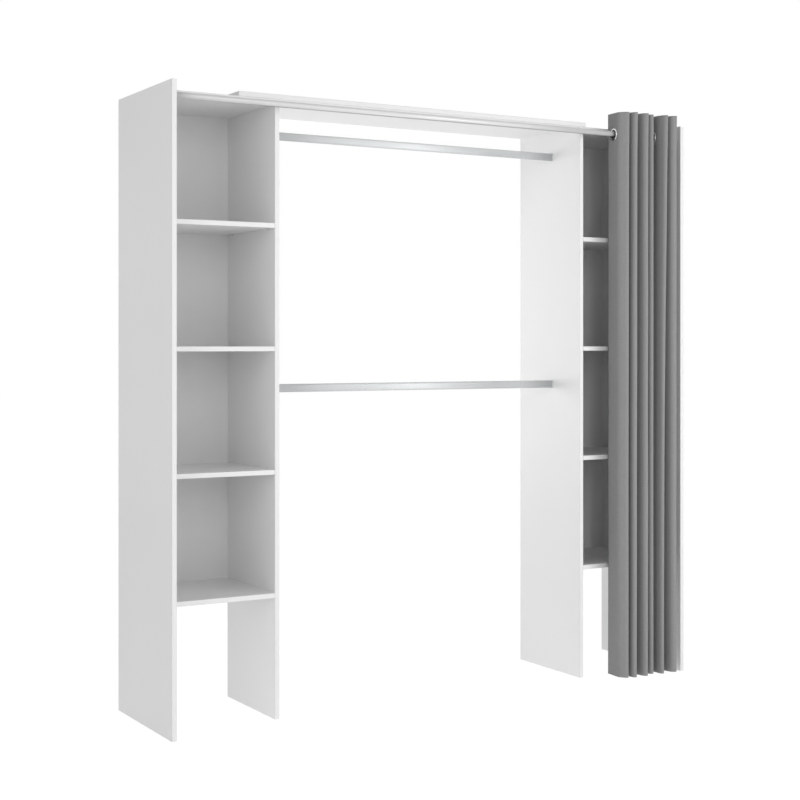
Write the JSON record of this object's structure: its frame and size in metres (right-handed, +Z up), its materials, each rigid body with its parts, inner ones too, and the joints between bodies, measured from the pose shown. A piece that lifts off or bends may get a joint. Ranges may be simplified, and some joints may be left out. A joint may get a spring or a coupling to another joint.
{
  "type": "wardrobe",
  "caption": "Open wardrobe in white board: shelf columns joined by a bridge board, oval hanging rails between them and a grey eyelet curtain on a chrome rod.",
  "frame": {"origin": "on the floor, under the middle of the box that the wardrobe and its curtain take up", "axes": "+Z up, +X to the right as seen from the front, +Y to the rear"},
  "size_m": [2.034, 0.505, 2.061],
  "materials": {
    "white_board": "white melamine with a faint grain",
    "white_hardboard": "white lacquered hardboard",
    "rail_metal": "satin",
    "socket_metal": "satin die-cast",
    "zinc_fittings": "zinc plated",
    "beech": "fluted beech",
    "rod_chrome": "satin",
    "eyelet_chrome": "polished",
    "curtain_fabric": "plain woven, matt"
  },
  "bodies": {
    "carcass": {"left_outer_side": "white_board", "left_inner_side": "white_board", "right_inner_side": "white_board", "right_outer_side": "white_board", "left_shelf_1": "white_board", "left_shelf_2": "white_board", "left_shelf_3": "white_board", "left_shelf_4": "white_board", "right_shelf_1": "white_board", "right_shelf_2": "white_board", "right_shelf_3": "white_board", "right_shelf_4": "white_board", "left_top_board": "white_board", "right_top_board": "white_board", "bridge_board": "white_board", "left_back_panel": "white_hardboard", "right_back_panel": "white_hardboard", "upper_hanging_rail": "rail_metal", "lower_hanging_rail": "rail_metal", "upper_rail_sockets": "socket_metal", "lower_rail_sockets": "socket_metal", "cam_locks": "zinc_fittings", "cam_bolts": "zinc_fittings", "socket_screws": "zinc_fittings", "shelf_pegs": "zinc_fittings", "wood_dowels": "beech", "curtain_rod": "rod_chrome"},
    "curtain_tail": {"eyelet_12": "eyelet_chrome"},
    "curtain_lead": {"eyelet_01": "eyelet_chrome", "curtain_cloth": "curtain_fabric"},
    "ring_02": {"eyelet_02": "eyelet_chrome"},
    "ring_03": {"eyelet_03": "eyelet_chrome"},
    "ring_04": {"eyelet_04": "eyelet_chrome"},
    "ring_05": {"eyelet_05": "eyelet_chrome"},
    "ring_06": {"eyelet_06": "eyelet_chrome"},
    "ring_07": {"eyelet_07": "eyelet_chrome"},
    "ring_08": {"eyelet_08": "eyelet_chrome"},
    "ring_09": {"eyelet_09": "eyelet_chrome"},
    "ring_10": {"eyelet_10": "eyelet_chrome"},
    "ring_11": {"eyelet_11": "eyelet_chrome"}
  },
  "joints": [
    {"name": "curtain_shift", "type": "slide", "parent": "carcass", "child": "curtain_tail", "axis": [1, 0, 0], "range_m": [-0.98, 0]},
    {"name": "curtain_draw", "type": "slide", "parent": "curtain_tail", "child": "curtain_lead", "axis": [1, 0, 0], "range_m": [-0.7, 0], "deforming": ["curtain_cloth"]},
    {"name": "ring_02_slide", "type": "slide", "parent": "curtain_tail", "child": "ring_02", "axis": [1, 0, 0], "range_m": [-0.69059, 0]},
    {"name": "ring_03_slide", "type": "slide", "parent": "curtain_tail", "child": "ring_03", "axis": [1, 0, 0], "range_m": [-0.65346, 0]},
    {"name": "ring_04_slide", "type": "slide", "parent": "curtain_tail", "child": "ring_04", "axis": [1, 0, 0], "range_m": [-0.59315, 0]},
    {"name": "ring_05_slide", "type": "slide", "parent": "curtain_tail", "child": "ring_05", "axis": [1, 0, 0], "range_m": [-0.509, 0]},
    {"name": "ring_06_slide", "type": "slide", "parent": "curtain_tail", "child": "ring_06", "axis": [1, 0, 0], "range_m": [-0.40693, 0]},
    {"name": "ring_07_slide", "type": "slide", "parent": "curtain_tail", "child": "ring_07", "axis": [1, 0, 0], "range_m": [-0.32104, 0]},
    {"name": "ring_08_slide", "type": "slide", "parent": "curtain_tail", "child": "ring_08", "axis": [1, 0, 0], "range_m": [-0.23763, 0]},
    {"name": "ring_09_slide", "type": "slide", "parent": "curtain_tail", "child": "ring_09", "axis": [1, 0, 0], "range_m": [-0.12635, 0]},
    {"name": "ring_10_slide", "type": "slide", "parent": "curtain_tail", "child": "ring_10", "axis": [1, 0, 0], "range_m": [-0.06324, 0]},
    {"name": "ring_11_slide", "type": "slide", "parent": "curtain_tail", "child": "ring_11", "axis": [1, 0, 0], "range_m": [-0.02898, 0]}
  ],
  "couplings": [
    {"joint": "ring_02_slide", "follows": "curtain_draw", "ratio": 0.98627},
    {"joint": "ring_03_slide", "follows": "curtain_draw", "ratio": 0.93323},
    {"joint": "ring_04_slide", "follows": "curtain_draw", "ratio": 0.84707},
    {"joint": "ring_05_slide", "follows": "curtain_draw", "ratio": 0.72686},
    {"joint": "ring_06_slide", "follows": "curtain_draw", "ratio": 0.58104},
    {"joint": "ring_07_slide", "follows": "curtain_draw", "ratio": 0.45834},
    {"joint": "ring_08_slide", "follows": "curtain_draw", "ratio": 0.33919},
    {"joint": "ring_09_slide", "follows": "curtain_draw", "ratio": 0.18021},
    {"joint": "ring_10_slide", "follows": "curtain_draw", "ratio": 0.09006},
    {"joint": "ring_11_slide", "follows": "curtain_draw", "ratio": 0.04112}
  ]
}
